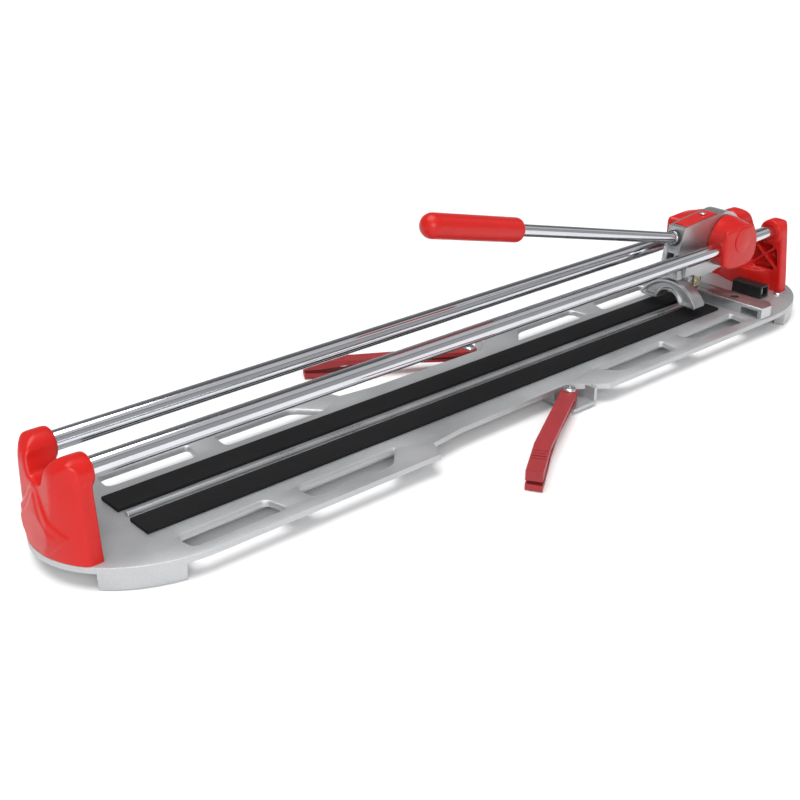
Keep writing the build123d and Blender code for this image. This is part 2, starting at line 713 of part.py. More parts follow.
def make_wheel_assembly():
    with BuildPart() as holder:
        slab(HOLDER_X - 5, HOLDER_X + 5, -3.5, 3.5, WHEEL_Z - 5, 78.9)
        slot_top = WHEEL_Z + WHEEL_RADIUS + 0.8
        slab(HOLDER_X - 6, HOLDER_X + 6, -1.65, 1.65, WHEEL_Z - 6, slot_top, Mode.SUBTRACT)
        with BuildSketch(Plane.XZ.offset(-4)):
            with Locations((HOLDER_X, WHEEL_Z)):
                Circle(WHEEL_BORE - RUNNING_GAP)
        extrude(amount=8, mode=Mode.SUBTRACT)
    save(holder.part, "wheel_holder")
    with BuildPart() as axle:
        with BuildSketch(Plane.XZ.offset(-3.9)):
            with Locations((HOLDER_X, WHEEL_Z)):
                Circle(WHEEL_BORE - RUNNING_GAP)
        extrude(amount=7.8)
    save(axle.part, "wheel_axle")
    with BuildPart() as wheel:
        with BuildSketch(Plane.XZ.offset(-1.5)):
            with Locations((HOLDER_X, WHEEL_Z)):
                Circle(WHEEL_RADIUS)
        extrude(amount=3)
        chamfer(wheel.edges().filter_by(GeomType.CIRCLE), 1.3, 2.4)
        with BuildSketch(Plane.XZ.offset(-1.5)):
            with Locations((HOLDER_X, WHEEL_Z)):
                Circle(WHEEL_BORE)
        extrude(amount=3, mode=Mode.SUBTRACT)
    save(wheel.part, "scoring_wheel")
    with BuildPart() as clamp:
        with BuildSketch(Plane.YZ.offset(263.5)):
            with Locations((0, 75.5)):
                Circle(3.9)
                RegularPolygon(1.9, 6, mode=Mode.SUBTRACT)
        extrude(amount=4.5)
        with BuildSketch(Plane.YZ.offset(267)):
            with Locations((0, 75.5)):
                Circle(2.5)
        extrude(amount=HOLDER_X - 5 - 267)
    save(clamp.part, "holder_clamp_screw")


def make_breaker_foot():
    with BuildPart() as foot:
        with BuildSketch(Plane.YZ.offset(FOOT_FRONT)):
            with BuildLine():
                Polyline((-13.5, FOOT_BASE_Z), (-30, FOOT_BASE_Z), (-FOOT_HALF_WIDTH, 31.5))
                ThreePointArc((-FOOT_HALF_WIDTH, 31.5), (-21, 46.2), (0, 51.8))
                ThreePointArc((0, 51.8), (21, 46.2), (FOOT_HALF_WIDTH, 31.5))
                Polyline((FOOT_HALF_WIDTH, 31.5), (30, FOOT_BASE_Z), (13.5, FOOT_BASE_Z))
                ThreePointArc((13.5, FOOT_BASE_Z), (0, 41.0), (-13.5, FOOT_BASE_Z))
            make_face()
        extrude(amount=FOOT_DEPTH)
        # lug that hangs on the pin
        with BuildSketch(Plane.YZ.offset(LUG_FRONT)):
            with Locations((0, FOOT_PIN_Z)):
                Circle(6)
            with Locations((0, (FOOT_PIN_Z + 46) / 2)):
                Rectangle(12, FOOT_PIN_Z - 46)
        extrude(amount=LUG_THICK)
        with BuildSketch(Plane.YZ.offset(LUG_FRONT)):
            with Locations((0, FOOT_PIN_Z)):
                Circle(FOOT_PIN_RADIUS + RUNNING_GAP)
        extrude(amount=LUG_THICK, mode=Mode.SUBTRACT)
    save(foot.part, "breaker_foot")
    with BuildPart() as pin:
        with BuildSketch(Plane.YZ.offset(FOOT_FRONT + 0.4)):
            with Locations((0, FOOT_PIN_Z)):
                Circle(FOOT_PIN_RADIUS)
        extrude(amount=22)
    save(pin.part, "foot_pin")


make_base_plate()
make_anti_slip_pads()
make_cutting_bed()
make_rails()
make_end_support(1, "end_support_right")
make_end_support(-1, "end_support_left")
make_support_fasteners()
make_fence()
make_wheel_case()
for arm_side, arm_name in ((-1, "front"), (1, "rear")):
    make_arm(arm_side, f"arm_{arm_name}")
    make_arm_hardware(arm_side, arm_name)
    make_cheek(arm_side, f"cheek_{arm_name}")
    make_bushes(arm_side, arm_name)
make_hinge_pin()
make_lever_bushes()
make_lever_casting()
make_lever_trim()
make_handle()
make_wheel_assembly()
make_breaker_foot()
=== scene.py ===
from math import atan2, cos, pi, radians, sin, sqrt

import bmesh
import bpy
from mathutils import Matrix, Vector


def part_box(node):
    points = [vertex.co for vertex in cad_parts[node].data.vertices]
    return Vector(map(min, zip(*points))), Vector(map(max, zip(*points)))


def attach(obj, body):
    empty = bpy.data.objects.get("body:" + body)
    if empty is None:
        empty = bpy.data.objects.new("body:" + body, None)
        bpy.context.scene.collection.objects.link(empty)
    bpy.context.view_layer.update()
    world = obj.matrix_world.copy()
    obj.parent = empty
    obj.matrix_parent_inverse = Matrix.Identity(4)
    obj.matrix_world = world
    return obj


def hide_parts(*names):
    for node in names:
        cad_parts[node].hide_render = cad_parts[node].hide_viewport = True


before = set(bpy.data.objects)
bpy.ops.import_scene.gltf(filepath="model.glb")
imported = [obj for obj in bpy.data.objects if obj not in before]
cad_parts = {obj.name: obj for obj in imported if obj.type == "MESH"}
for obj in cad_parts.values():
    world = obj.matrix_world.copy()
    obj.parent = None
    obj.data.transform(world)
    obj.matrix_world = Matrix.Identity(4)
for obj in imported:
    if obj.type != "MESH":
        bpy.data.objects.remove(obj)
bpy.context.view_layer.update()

# %% [markdown]
# A rail tile cutter is a long cast base, two steel rails above it, and a red carriage with a lever that
# rolls a scoring wheel over the tile. The imported model brings the working parts with their true sizes.
# This lesson dresses them: each cell builds one piece or a few alike, in millimetres, and a helper
# turns them into metres.

MM = 0.001


# %% [markdown]
# Every piece goes through the same few steps, so they are written once. A bmesh is a mesh that can be
# edited in code. An outline is a few corner points made into one face, which can be inset, pushed out
# into a solid or spun about an axis. A block is a cube, stretched between two corners.

# %% Helpers that shape a mesh
def corners(node):
    """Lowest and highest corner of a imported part, in millimetres."""
    low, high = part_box(node)
    return low / MM, high / MM


def face_from(bm, points):
    """One flat face through a few points."""
    return bm.faces.new([bm.verts.new(point) for point in points])


def round_corners(bm, face, radius, segments):
    """Rounds the corners of a lone flat face and returns it."""
    before = set(bm.faces) - {face}
    bmesh.ops.bevel(
        bm, geom=list(face.verts), offset=radius, offset_type="OFFSET", affect="VERTICES",
        segments=segments, profile=0.5, material=-1, clamp_overlap=True,
    )
    return next(f for f in bm.faces if f not in before)


def round_edges(bm, edges, width, segments=3):
    """Rounds the given edges."""
    bmesh.ops.bevel(
        bm, geom=list(edges), offset=width, offset_type="OFFSET", affect="EDGES",
        segments=segments, profile=0.5, material=-1, clamp_overlap=True, loop_slide=True,
    )


def hard_edges(bm):
    """Edges where two faces meet at more than 30 degrees."""
    bm.normal_update()
    return [e for e in bm.edges if len(e.link_faces) == 2 and e.calc_face_angle() > radians(30)]


def inset(bm, face, width, depth=0.0):
    """Insets a lone flat face, and raises or sinks what is left of it."""
    bmesh.ops.inset_region(
        bm, faces=[face], thickness=width, depth=depth, use_boundary=True, use_even_offset=True
    )


def spun(bm, face, axis, angle, steps, closed=False):
    """Turns a flat section about an axis through the origin, and closes it on itself if asked."""
    bmesh.ops.spin(
        bm, geom=[face], cent=(0, 0, 0), axis=axis, dvec=(0, 0, 0), angle=angle, steps=steps,
        use_merge=closed, use_duplicate=False,
    )


def push(bm, faces, move):
    """Extrudes a region of faces by a vector and returns its new faces."""
    made = bmesh.ops.extrude_face_region(bm, geom=list(faces))["geom"]
    points = [item for item in made if isinstance(item, bmesh.types.BMVert)]
    bmesh.ops.translate(bm, verts=points, vec=Vector(move))
    return [item for item in made if isinstance(item, bmesh.types.BMFace)]


def block(bm, x, y, z):
    """A cube stretched between two corners, given as (low, high) along each axis."""
    size = Matrix.Diagonal((x[1] - x[0], y[1] - y[0], z[1] - z[0], 1))
    middle = Matrix.Translation(((x[0] + x[1]) / 2, (y[0] + y[1]) / 2, (z[0] + z[1]) / 2))
    return bmesh.ops.create_cube(bm, size=1, matrix=middle @ size)["verts"]


# %% [markdown]
# Rods, bolts and rollers are all turned round an axis. One helper makes a bar between two points with
# its two rims rounded.

# %% Helper for turned bars
def bar(bm, start, end, radius, rim, segments):
    """A round bar from start to end, with rounded rims."""
    start, end = Vector(start), Vector(end)
    turn = (end - start).to_track_quat("Z", "Y").to_matrix().to_4x4()
    verts = bmesh.ops.create_cone(
        bm, cap_ends=True, segments=segments, radius1=radius, radius2=radius,
        depth=(end - start).length, matrix=Matrix.Translation((start + end) / 2) @ turn,
    )["verts"]
    caps = {face for vert in verts for face in vert.link_faces if len(face.verts) > 4}
    round_edges(bm, {edge for face in caps for edge in face.edges}, rim)


# %% [markdown]
# Finishing merges doubled points, turns the faces outwards, scales to metres, shades the soft edges
# smooth and leaves the hard ones sharp. A moulded or cast part has no sharp inner corners, so its
# overlapping solids are melted: a voxel remesh joins them into one skin, and smoothing softens it.

# %% Helpers that finish a piece
ROUND_STEPS = 2


def finish(bm, name, material, body, nodes, smooth=38.0, round_mm=0.0):
    """Turns a bmesh in millimetres into a finished piece that rides on a body."""
    bmesh.ops.remove_doubles(bm, verts=bm.verts, dist=0.001)
    bmesh.ops.recalc_face_normals(bm, faces=bm.faces)
    bmesh.ops.scale(bm, verts=bm.verts, vec=(MM, MM, MM))
    mesh = bpy.data.meshes.new(name)
    bm.to_mesh(mesh)
    bm.free()
    mesh.shade_smooth()
    mesh.set_sharp_from_angle(angle=radians(smooth))
    piece = bpy.data.objects.new(name, mesh)
    bpy.context.scene.collection.objects.link(piece)
    mesh.materials.append(material)
    if round_mm:
        edge = piece.modifiers.new("rounded edges", "BEVEL")
        edge.width = round_mm * MM
        edge.segments = ROUND_STEPS
        edge.limit_method = "ANGLE"
        edge.angle_limit = radians(smooth)
    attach(piece, body)
    if nodes:
        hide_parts(*nodes)
    print(f"{name}: {len(mesh.polygons)} faces, {[round(side / MM, 1) for side in piece.dimensions]} mm")


def join(bm, other):
    """Moves all of another bmesh into this one."""
    bmesh.ops.recalc_face_normals(other, faces=other.faces)
    loose = bpy.data.meshes.new("loose")
    other.to_mesh(loose)
    other.free()
    bm.from_mesh(loose)
    bpy.data.meshes.remove(loose)


def merged_copy(node):
    """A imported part's mesh as a clean bmesh in millimetres: doubles merged, flat areas joined."""
    bm = bmesh.new()
    bm.from_mesh(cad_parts[node].data)
    bmesh.ops.scale(bm, verts=bm.verts, vec=(1 / MM,) * 3)
    bmesh.ops.remove_doubles(bm, verts=bm.verts, dist=0.004)
    bmesh.ops.dissolve_limit(bm, angle_limit=radians(1.0), verts=bm.verts, edges=bm.edges)
    return bm


def melted(bm, voxel, smoothing):
    """Joins overlapping solids into one skin with soft inner corners, as a moulded part has."""
    mesh = bpy.data.meshes.new("lump")
    bm.to_mesh(mesh)
    bm.free()
    lump = bpy.data.objects.new("lump", mesh)
    bpy.context.scene.collection.objects.link(lump)
    skin = lump.modifiers.new("skin", "REMESH")
    skin.mode = "VOXEL"
    skin.voxel_size = voxel
    soften = lump.modifiers.new("soft corners", "SMOOTH")
    soften.factor = 0.5
    soften.iterations = smoothing
    ready = lump.evaluated_get(bpy.context.evaluated_depsgraph_get())
    result = bmesh.new()
    result.from_mesh(ready.to_mesh())
    ready.to_mesh_clear()
    bpy.data.objects.remove(lump)
    bpy.data.meshes.remove(mesh)
    return result


# %% [markdown]
# Finishes come next. Each is a small network of nodes read in object coordinates, so the grain stays
# fixed to the piece. Small helpers do the repeated wiring: one spreads noise, one narrows it to a range
# and one mixes two colours by it. The last builds a whole finish, with clouded colour, uneven roughness
# and a shallow bump, and where asked a painted sparkle: bright glints of light set into the colour.

# %% Helpers for finishes
NOISE_ROUGHNESS = 0.55
FINE_SHARE = 0.6
# Size and share of the painted glints: bright cells of colour that stand in for sparkle of light.
PAINTED_GLINT_SCALE = 1.6
PAINTED_GLINT_SPAN = (0.72, 1.0)
COAT_ROUGHNESS = 0.12


def noise(nodes, links, coords, scale, detail, stretch=(1, 1, 1)):
    """Noise in object coordinates, optionally stretched along an axis."""
    place = nodes.new("ShaderNodeMapping")
    place.inputs["Scale"].default_value = stretch
    links.new(coords.outputs["Object"], place.inputs["Vector"])
    grain = nodes.new("ShaderNodeTexNoise")
    grain.inputs["Scale"].default_value = scale
    grain.inputs["Detail"].default_value = detail
    grain.inputs["Roughness"].default_value = NOISE_ROUGHNESS
    links.new(place.outputs["Vector"], grain.inputs["Vector"])
    return grain.outputs["Fac"]


def remap(nodes, links, value, low, high, span=(0.3, 0.7)):
    """Maps a noise onto a narrow range of numbers."""
    ramp = nodes.new("ShaderNodeMapRange")
    ramp.inputs["From Min"].default_value, ramp.inputs["From Max"].default_value = span
    ramp.inputs["To Min"].default_value, ramp.inputs["To Max"].default_value = low, high
    links.new(value, ramp.inputs["Value"])
    return ramp.outputs["Result"]


def mixed(nodes, links, factor, first, second):
    """A colour between two, by a factor. The first may also be the output of another node."""
    mix = nodes.new("ShaderNodeMix")
    mix.data_type = "RGBA"
    if isinstance(first, tuple):
        mix.inputs["A"].default_value = (*first, 1)
    else:
        links.new(first, mix.inputs["A"])
    mix.inputs["B"].default_value = (*second, 1)
    links.new(factor, mix.inputs["Factor"])
    return mix.outputs["Result"]


def surface(name, colours, roughness, metallic=0.0, grain=900.0, bump=0.25, bump_mm=0.02,
            cloud=25.0, stretch=(1, 1, 1), coat=0.0, painted_glints=0.0, spec=0.5):
    """One finish: clouded colour, uneven roughness and a shallow grain, all read from noise, and painted
    glints if asked.
    """
    material = bpy.data.materials.new(name)
    material.use_nodes = True
    nodes, links = material.node_tree.nodes, material.node_tree.links
    shader = nodes["Principled BSDF"]
    coords = nodes.new("ShaderNodeTexCoord")
    clouds = noise(nodes, links, coords, cloud, 4.0)
    fine = noise(nodes, links, coords, grain, 2.0, stretch)
    colour = mixed(nodes, links, remap(nodes, links, clouds, 0.0, 1.0), *colours[:2])
    # Bright cells of the third colour stand in for glints of light on the grains: a painted sparkle.
    if painted_glints:
        glints = nodes.new("ShaderNodeTexVoronoi")
        glints.inputs["Scale"].default_value = grain * PAINTED_GLINT_SCALE
        links.new(coords.outputs["Object"], glints.inputs["Vector"])
        shine = remap(nodes, links, glints.outputs["Color"], 0.0, painted_glints, PAINTED_GLINT_SPAN)
        colour = mixed(nodes, links, shine, colour, colours[2])
    links.new(colour, shader.inputs["Base Color"])
    both = nodes.new("ShaderNodeMath")
    both.operation = "MULTIPLY_ADD"
    links.new(remap(nodes, links, fine, -0.5, 0.5), both.inputs[0])
    both.inputs[1].default_value = (roughness[1] - roughness[0]) * FINE_SHARE
    links.new(remap(nodes, links, clouds, *roughness), both.inputs[2])
    links.new(both.outputs["Value"], shader.inputs["Roughness"])
    relief = nodes.new("ShaderNodeBump")
    relief.inputs["Strength"].default_value = bump
    relief.inputs["Distance"].default_value = bump_mm * MM
    links.new(fine, relief.inputs["Height"])
    links.new(relief.outputs["Normal"], shader.inputs["Normal"])
    shader.inputs["Metallic"].default_value = metallic
    shader.inputs["Coat Weight"].default_value = coat
    shader.inputs["Coat Roughness"].default_value = COAT_ROUGHNESS
    shader.inputs["Specular IOR Level"].default_value = spec
    return material


# %% [markdown]
# The base is sand-blasted cast aluminium: pale grey, dull, with a fine sparkle that is painted into its
# colour as bright glints of light. The red covers and the grip are glossy moulded plastic, the side arms
# are painted metal with a satin skin, and the rails are ground and chromed steel. Rubber, bronze, zinc,
# brass-coloured plating and carbide finish the small parts.

# %% The finishes
# Both castings carry painted glints: their third colour is a painted sparkle of light, not a mark of the
# metal.
CAST = surface("cast aluminium", [(0.42, 0.43, 0.44), (0.51, 0.52, 0.53), (0.80, 0.81, 0.83)],
               (0.40, 0.56), metallic=0.72, grain=1400.0, bump=0.5, bump_mm=0.06, cloud=14.0, painted_glints=0.35)
BRIGHT_CAST = surface("polished casting", [(0.44, 0.45, 0.46), (0.54, 0.55, 0.56), (0.80, 0.80, 0.82)],
                      (0.26, 0.40), metallic=0.9, grain=1100.0, bump=0.35, bump_mm=0.04, cloud=30.0,
                      painted_glints=0.2)
RED = surface("glossy red plastic", [(0.52, 0.011, 0.008), (0.47, 0.009, 0.007)], (0.28, 0.38),
              grain=1500.0, bump=0.12, bump_mm=0.03, cloud=40.0, coat=0.06, spec=0.26)
ARM_RED = surface("satin red paint", [(0.27, 0.022, 0.026), (0.32, 0.028, 0.032)], (0.42, 0.54),
                  grain=800.0, bump=0.3, bump_mm=0.04, cloud=60.0, stretch=(0.25, 1, 1), spec=0.3)
CHROME = surface("ground chrome", [(0.66, 0.67, 0.70), (0.60, 0.61, 0.64)], (0.07, 0.14), metallic=1.0,
                 grain=1800.0, bump_mm=0.006, cloud=20.0, stretch=(0.01, 1, 1))
RUBBER = surface("black rubber", [(0.007, 0.007, 0.008), (0.012, 0.012, 0.013)], (0.74, 0.88),
                 grain=1300.0, bump=0.6, bump_mm=0.08, cloud=30.0, spec=0.18)
BLACK = surface("black plastic", [(0.010, 0.010, 0.011), (0.016, 0.016, 0.017)], (0.32, 0.45),
                grain=1200.0, bump=0.3, bump_mm=0.04)
ZINC = surface("zinc plated steel", [(0.66, 0.67, 0.68), (0.56, 0.57, 0.59)], (0.18, 0.32), metallic=1.0,
               cloud=120.0)
DARK_STEEL = surface("dark steel", [(0.10, 0.10, 0.10), (0.16, 0.16, 0.16)], (0.32, 0.46), metallic=0.9,
                     bump=0.3, bump_mm=0.03, cloud=80.0)
YELLOW = surface("yellow plating", [(0.80, 0.72, 0.42), (0.70, 0.60, 0.30)], (0.22, 0.36), metallic=0.85,
                 cloud=90.0)
BRONZE = surface("bronze", [(0.55, 0.33, 0.14), (0.44, 0.25, 0.10)], (0.25, 0.40), metallic=1.0,
                 bump=0.2, cloud=70.0)
CARBIDE = surface("carbide", [(0.36, 0.36, 0.38), (0.30, 0.30, 0.32)], (0.16, 0.26), metallic=1.0,
                  grain=1200.0, bump=0.2, bump_mm=0.01, cloud=90.0)
print("finishes:", len(bpy.data.materials))


# %% [markdown]
# The deck is one casting, 5 mm thick, with a round end on each side and a shallow recess at the middle
# of each long edge. Its outline is a handful of corners and two half-ellipses. It is inset twice, and
# the outer rings are lowered, which makes the soft upper edge.

# %% Deck outline
DECK_TOP = corners("fence_bar")[0].z
DECK_THICK = 5.0
DECK_BOTTOM = DECK_TOP - DECK_THICK
HALF_LENGTH, HALF_WIDTH = corners("base_plate")[1].xy
END_REACH = 98.0
END_CENTRE = HALF_LENGTH - END_REACH
END_STEPS = 40
RECESS = [(-123, -HALF_WIDTH), (-115, -59.5), (-80, -55), (49.5, -53.2), (80, -HALF_WIDTH)]
EDGE_INSETS = (0.7, 0.9)
SHOULDER_DROP = 0.35
EDGE_DROP = 1.3


def deck_outline():
    """Corners of the deck, anticlockwise from the front of the left end."""
    front = [(-END_CENTRE, -HALF_WIDTH), *RECESS, (END_CENTRE, -HALF_WIDTH)]
    turns = [-pi / 2 + pi * step / END_STEPS for step in range(1, END_STEPS)]
    right = [(END_CENTRE + END_REACH * cos(turn), HALF_WIDTH * sin(turn)) for turn in turns]
    rear = [(x, -y) for x, y in reversed(front)]
    left = [(-x, -y) for x, y in right]
    return front + right + rear + left


deck = bmesh.new()
sheet = face_from(deck, [(x, y, DECK_TOP) for x, y in deck_outline()])
for width in EDGE_INSETS:
    inset(deck, sheet, width)
outer = {vert for edge in deck.edges if edge.is_boundary for vert in edge.verts}
between = [vert for vert in deck.verts if vert not in outer and vert not in set(sheet.verts)]
bmesh.ops.delete(deck, geom=[sheet], context="FACES_ONLY")
bmesh.ops.translate(deck, verts=list(outer), vec=(0, 0, -EDGE_DROP))
bmesh.ops.translate(deck, verts=between, vec=(0, 0, -SHOULDER_DROP))
rim = [edge for edge in deck.edges if edge.is_boundary and edge.verts[0] in outer]
skirt = bmesh.ops.extrude_edge_only(deck, edges=rim)
lowered = [item for item in skirt["geom"] if isinstance(item, bmesh.types.BMVert)]
bmesh.ops.translate(deck, verts=lowered, vec=(0, 0, EDGE_DROP - DECK_THICK))
print("deck outline corners:", len(outer))

# %% [markdown]
# Eight windows save weight. Each starts as a flat face with rounded corners, is inset twice to make a
# soft rim, and is then pushed down through the deck. The sheet between them is filled in last, above
# and below.

# %% Windows through the deck
WINDOWS = [
    [(-348, -46), (-268, -44), (-262, -67.5), (-346, -68)],
    [(-243, -44), (-140, -44), (-162, -67.5), (-241, -67.5)],
    [(88, -44), (193, -44), (190, -68), (112, -67.5)],
    [(213, -44), (304, -44), (300, -68), (221, -68)],
]
WINDOW_CORNER = 6.5
WINDOW_RIM = [(0.9, 0.35), (0.8, 1.2)]
RIM_DEPTH = 1.55


def open_edges(bm, z):
    """Edges at height z with a face on one side only."""
    return [e for e in bm.edges if e.is_boundary and all(abs(v.co.z - z) < 0.01 for v in e.verts)]


for points in WINDOWS:
    for side in (1, -1):
        flat = face_from(deck, [(x, y * side, DECK_TOP) for x, y in points])
        flat.normal_update()
        if flat.normal.z < 0:
            flat.normal_flip()
        flat = round_corners(deck, flat, WINDOW_CORNER, 6)
        for width, drop in WINDOW_RIM:
            inset(deck, flat, width, -drop)
        down = push(deck, [flat], (0, 0, DECK_BOTTOM - DECK_TOP + RIM_DEPTH))[0]
        bmesh.ops.delete(deck, geom=[down, flat], context="FACES_ONLY")
for height in (DECK_TOP, DECK_BOTTOM):
    bmesh.ops.triangle_fill(deck, use_beauty=True, edges=open_edges(deck, height), normal=(0, 0, 1))
print("windows:", 2 * len(WINDOWS), "open edges left:", len([e for e in deck.edges if e.is_boundary]))

# %% [markdown]
# Under the four corners the casting has curved feet. A foot is an arc of wall, so its section is spun
# round the centre of the round end and then squeezed sideways, because that end is an ellipse. The wall
# tapers a little towards the floor.

# %% Feet
FLOOR_GAP = 0.8
FOOT_TOP = DECK_BOTTOM + 0.2
FOOT_SECTION = [(85.5, 0, FLOOR_GAP), (97.2, 0, FLOOR_GAP), (97.9, 0, FOOT_TOP), (85, 0, FOOT_TOP)]
FOOT_START = Matrix.Rotation(radians(37), 3, "Z")
FOOT_SWEEP = radians(38)
for end in (1, -1):
    for side in (1, -1):
        before = set(deck.verts)
        section = face_from(deck, FOOT_SECTION)
        bmesh.ops.rotate(deck, verts=section.verts, cent=(0, 0, 0), matrix=FOOT_START)
        spun(deck, section, (0, 0, 1), FOOT_SWEEP, 18)
        foot = [vert for vert in deck.verts if vert not in before]
        bmesh.ops.scale(deck, verts=foot, vec=(end, side * HALF_WIDTH / END_REACH, 1))
        bmesh.ops.translate(deck, verts=foot, vec=(end * END_CENTRE, 0, 0))
        print("foot:", len(foot), "points")

# %% [markdown]
# Thin ribs stiffen the underside. Beside each long edge a small shelf with two walls carries a side
# arm. All of these are blocks. The ribs and walls go a little way into the deck, so that no gap shows.

# %% Ribs and arm pockets
HALF_RIB = 1.5
LONG_RIB = (-392, 392)
CROSS_RIB = (-37.4, 37.4)
LONG_RIBS_Y = (-36, -12, 12, 36)
CROSS_RIBS_X = (-390, -256, 0, 203, 390)
ARM_POCKET = [
    ((36, 66), (36, 75), (2.5, 5.5)),
    ((62.5, 66), (49, 74.6), (5.4, DECK_TOP - 0.6)),
    ((36.1, 65.9), (36.2, 51.5), (5.3, DECK_BOTTOM + 0.15)),
]
for y in LONG_RIBS_Y:
    block(deck, LONG_RIB, (y - HALF_RIB, y + HALF_RIB), (6, DECK_BOTTOM + 0.2))
for x in CROSS_RIBS_X:
    block(deck, (x - HALF_RIB, x + HALF_RIB), CROSS_RIB, (6.2, DECK_BOTTOM + 0.1))
for side in (1, -1):
    for x, (near, far), z in ARM_POCKET:
        block(deck, x, sorted((side * near, side * far)), z)
finish(deck, "cast_base", CAST, "frame", ["base_plate"], round_mm=0.5)


# %% [markdown]
# Two black rubber strips carry the tile on each side of the breaking rib. They are plain slabs with
# soft edges. The rib itself is a low rounded bar: a circle, flattened, cut in half and drawn out along
# the base.

# %% Rubber strips and the breaking rib
PAD_EDGE = 0.45
for name in ("pad_front", "pad_rear"):
    low, high = corners(name)
    strip = bmesh.new()
    block(strip, (low.x, high.x), (low.y, high.y), (low.z, high.z))
    round_edges(strip, hard_edges(strip), PAD_EDGE)
    finish(strip, f"rubber_{name}", RUBBER, "frame", [name])

low, high = corners("breaking_rib")
rib = bmesh.new()
bmesh.ops.create_circle(rib, segments=28, radius=1, matrix=Matrix.Rotation(pi / 2, 4, "Y"))
bmesh.ops.scale(rib, verts=rib.verts, vec=(1, high.y, high.z - low.z))
bmesh.ops.bisect_plane(
    rib, geom=rib.verts[:] + rib.edges[:], plane_co=(0, 0, 0), plane_no=(0, 0, -1), clear_outer=True
)
bmesh.ops.translate(rib, verts=rib.verts, vec=(low.x, 0, low.z))
bmesh.ops.contextual_create(rib, geom=rib.verts[:])
push(rib, rib.faces[:], (high.x - low.x, 0, 0))
finish(rib, "breaking_bar", BRIGHT_CAST, "frame", ["breaking_rib"], round_mm=0.4)

# %% [markdown]
# The rails are ground steel bars, 15 mm across, chromed. They are turned with enough sides that their
# long reflections stay straight.

# %% Rails
RAIL_LOW, RAIL_HIGH = corners("rail_front")
RAIL_RADIUS = (RAIL_HIGH.z - RAIL_LOW.z) / 2
SPAN_CENTRE = (RAIL_LOW.x + RAIL_HIGH.x) / 2
RAIL_RIM = 0.8
for name in ("rail_front", "rail_rear"):
    low, high = corners(name)
    y, z = (low.y + high.y) / 2, (low.z + high.z) / 2
    rail = bmesh.new()
    bar(rail, (low.x, y, z), (high.x, y, z), RAIL_RADIUS, RAIL_RIM, 96)
    finish(rail, f"chrome_{name}", CHROME, "frame", [name])
RAIL_Y, RAIL_Z = y, z

# %% [markdown]
# Each end support is one thick red moulding with a raised shield on its outer wall. The wall bows
# outwards in plan and leans in towards the top. The shield is an outline seen from the end, drawn for
# one half and mirrored. It is cut fine, pushed out to the wall, swollen a little at its middle and held
# within the length of the base.

# %% Outer wall and shield of a support
WALL_HALF_WIDTH = 58.3
WALL_TAPER = 0.162
WALL_CENTRE = 374.7
WALL_BOW = 48.4
WALL_FOOT = 422.8
WALL_LEAN = 0.0885
SHIELD_BACK = 403.0
SHIELD_MIDDLE = 44
SHIELD_REACH_UP = 26
SHIELD_REACH_SIDE = 38
SHIELD_SWELL = 1.4
SHIELD_LIMIT = HALF_LENGTH + SPAN_CENTRE - 0.5


def wall_x(y, z):
    """How far out the support's outer wall stands, for the fence end."""
    half = WALL_HALF_WIDTH - (z - DECK_TOP) * WALL_TAPER
    plan = WALL_CENTRE + WALL_BOW * sqrt(max(0.0, 1 - (y / half) ** 2))
    lean = WALL_FOOT - max(0.0, z - DECK_TOP) * WALL_LEAN
    return min(plan, lean)


def shield(bm, half_outline, proud):
    """A raised plate on the outer wall, standing proud of it by a given amount."""
    outline = half_outline + [(-y, z) for y, z in reversed(half_outline) if abs(y) > 0.01]
    plate = bmesh.new()
    face_from(plate, [(SHIELD_BACK, y, z) for y, z in outline])
    bmesh.ops.triangulate(plate, faces=plate.faces)
    for _ in range(4):
        bmesh.ops.subdivide_edges(plate, edges=plate.edges[:], cuts=1, use_grid_fill=True)
    for vert in {v for f in push(plate, plate.faces[:], (1, 0, 0)) for v in f.verts}:
        upright = cos(min(1.0, abs(vert.co.z - SHIELD_MIDDLE) / SHIELD_REACH_UP) * pi / 2)
        across = cos(min(1.0, abs(vert.co.y) / SHIELD_REACH_SIDE) * pi / 2)
        reach = wall_x(vert.co.y, vert.co.z) + proud + SHIELD_SWELL * upright * across
        vert.co.x = min(reach, SHIELD_LIMIT)
    join(bm, plate)


# %% [markdown]
# A support is made in two stages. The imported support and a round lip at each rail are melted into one
# skin first. The shield, one plate on top of a larger one, is melted on afterwards with less smoothing,
# so that its ridges stay. The foot starts a little too low and is cut flat at the deck, because melting
# rounds its lower edge as well.

